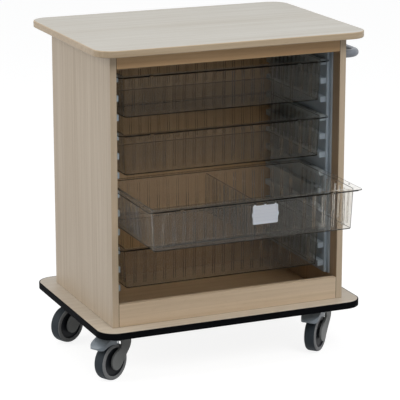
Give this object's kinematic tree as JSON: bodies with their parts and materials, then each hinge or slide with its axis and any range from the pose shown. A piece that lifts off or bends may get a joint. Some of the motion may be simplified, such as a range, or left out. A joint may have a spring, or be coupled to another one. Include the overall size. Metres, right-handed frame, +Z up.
{
  "type": "mobile tray storage unit",
  "caption": "Open fronted wooden storage cabinet on castors with clear pull-out trays on ledged side guides, a wide worktop and base, and a push handle on one side.",
  "frame": {"origin": "on the floor, under the middle of the bounding box with the third tray pulled out as stored", "axes": "+Z up, -Y out of the open front, +X to the side with the push handle"},
  "size_m": [0.8002, 0.675, 0.89],
  "materials": {
    "panel_laminate": "maple grain melamine",
    "worktop_laminate": "maple grain laminate, satin",
    "wood_lipping": "lacquered beech",
    "black_edging": "satin black",
    "guide_plastic": "translucent grey-blue",
    "tray_clear": "clear",
    "divider_clear": "clear",
    "holder_white": "satin white",
    "card_white": "paper",
    "handle_paint": "powder coat",
    "handle_mount_grey": "satin",
    "beech_dowel": "plain",
    "zinc_steel": "zinc plated",
    "zinc_plate": "zinc plated",
    "castor_grey": "satin moulded",
    "pedal_grey": "satin moulded",
    "wheel_black": "satin moulded",
    "tyre_rubber": "soft grey tread"
  },
  "bodies": {
    "cabinet": {"side_panel_left": "panel_laminate", "side_panel_right": "panel_laminate", "back_panel": "panel_laminate", "front_rail": "panel_laminate", "rear_rail": "panel_laminate", "plinth": "panel_laminate", "base_board": "panel_laminate", "worktop": "worktop_laminate", "worktop_lipping": "wood_lipping", "base_edging": "black_edging", "guide_left": "guide_plastic", "guide_right": "guide_plastic", "handle_tube": "handle_paint", "handle_mount_front": "handle_mount_grey", "handle_mount_rear": "handle_mount_grey", "dowels": "beech_dowel", "worktop_screws": "zinc_steel", "base_screws": "zinc_steel", "guide_screws": "zinc_steel", "handle_screws": "zinc_steel", "castor_screws": "zinc_steel", "kingpins": "zinc_steel", "castor_front_left_plate": "zinc_plate", "castor_front_right_plate": "zinc_plate", "castor_rear_left_plate": "zinc_plate", "castor_rear_right_plate": "zinc_plate"},
    "tray_1": {"tray_1": "tray_clear"},
    "tray_2": {"tray_2": "tray_clear"},
    "tray_3": {"tray_3": "tray_clear", "label_holder": "holder_white", "label_card": "card_white"},
    "tray_4": {"tray_4": "tray_clear"},
    "divider": {"tray_divider": "divider_clear"},
    "castor_front_left_swivel": {"castor_front_left_fork": "castor_grey", "castor_front_left_axle": "zinc_steel", "castor_front_left_pedal_pin": "zinc_steel"},
    "castor_front_left_wheel": {"castor_front_left_wheel": "wheel_black", "castor_front_left_tyre": "tyre_rubber"},
    "castor_front_left_pedal": {"castor_front_left_pedal": "pedal_grey"},
    "castor_front_right_swivel": {"castor_front_right_fork": "castor_grey", "castor_front_right_axle": "zinc_steel", "castor_front_right_pedal_pin": "zinc_steel"},
    "castor_front_right_wheel": {"castor_front_right_wheel": "wheel_black", "castor_front_right_tyre": "tyre_rubber"},
    "castor_front_right_pedal": {"castor_front_right_pedal": "pedal_grey"},
    "castor_rear_left_swivel": {"castor_rear_left_fork": "castor_grey", "castor_rear_left_axle": "zinc_steel"},
    "castor_rear_left_wheel": {"castor_rear_left_wheel": "wheel_black", "castor_rear_left_tyre": "tyre_rubber"},
    "castor_rear_right_swivel": {"castor_rear_right_fork": "castor_grey", "castor_rear_right_axle": "zinc_steel"},
    "castor_rear_right_wheel": {"castor_rear_right_wheel": "wheel_black", "castor_rear_right_tyre": "tyre_rubber"}
  },
  "joints": [
    {"name": "tray_1_slide", "type": "slide", "parent": "cabinet", "child": "tray_1", "axis": [0, -1, 0], "range_m": [0, 0.3]},
    {"name": "tray_2_slide", "type": "slide", "parent": "cabinet", "child": "tray_2", "axis": [0, -1, 0], "range_m": [0, 0.3]},
    {"name": "tray_3_slide", "type": "slide", "parent": "cabinet", "child": "tray_3", "axis": [0, -1, 0], "range_m": [-0.2, 0.1]},
    {"name": "tray_4_slide", "type": "slide", "parent": "cabinet", "child": "tray_4", "axis": [0, -1, 0], "range_m": [0, 0.3]},
    {"name": "divider_lift", "type": "slide", "parent": "tray_3", "child": "divider", "axis": [0, 0, 1], "range_m": [0, 0.045]},
    {"name": "castor_front_left_turn", "type": "hinge", "parent": "cabinet", "child": "castor_front_left_swivel", "pos_m": [-0.3059, -0.1115, 0.12], "axis": [0, 0, 1], "continuous": true},
    {"name": "castor_front_left_roll", "type": "hinge", "parent": "castor_front_left_swivel", "child": "castor_front_left_wheel", "pos_m": [-0.33914, -0.12992, 0.05], "axis": [0.4848, -0.8746, 0], "continuous": true},
    {"name": "castor_front_left_brake", "type": "hinge", "parent": "castor_front_left_swivel", "child": "castor_front_left_pedal", "pos_m": [-0.33914, -0.12992, 0.107], "axis": [0.4848, -0.8746, 0], "range_deg": [0, 10]},
    {"name": "castor_front_right_turn", "type": "hinge", "parent": "cabinet", "child": "castor_front_right_swivel", "pos_m": [0.2861, -0.1115, 0.12], "axis": [0, 0, 1], "continuous": true},
    {"name": "castor_front_right_roll", "type": "hinge", "parent": "castor_front_right_swivel", "child": "castor_front_right_wheel", "pos_m": [0.25831, -0.13742, 0.05], "axis": [0.682, -0.7314, 0], "continuous": true},
    {"name": "castor_front_right_brake", "type": "hinge", "parent": "castor_front_right_swivel", "child": "castor_front_right_pedal", "pos_m": [0.25831, -0.13742, 0.107], "axis": [0.682, -0.7314, 0], "range_deg": [0, 10]},
    {"name": "castor_rear_left_turn", "type": "hinge", "parent": "cabinet", "child": "castor_rear_left_swivel", "pos_m": [-0.3059, 0.2215, 0.12], "axis": [0, 0, 1], "continuous": true},
    {"name": "castor_rear_left_roll", "type": "hinge", "parent": "castor_rear_left_swivel", "child": "castor_rear_left_wheel", "pos_m": [-0.34034, 0.20544, 0.05], "axis": [0.4226, -0.9063, 0], "continuous": true},
    {"name": "castor_rear_right_turn", "type": "hinge", "parent": "cabinet", "child": "castor_rear_right_swivel", "pos_m": [0.2861, 0.2215, 0.12], "axis": [0, 0, 1], "continuous": true},
    {"name": "castor_rear_right_roll", "type": "hinge", "parent": "castor_rear_right_swivel", "child": "castor_rear_right_wheel", "pos_m": [0.25423, 0.2008, 0.05], "axis": [0.5446, -0.8387, 0], "continuous": true}
  ]
}
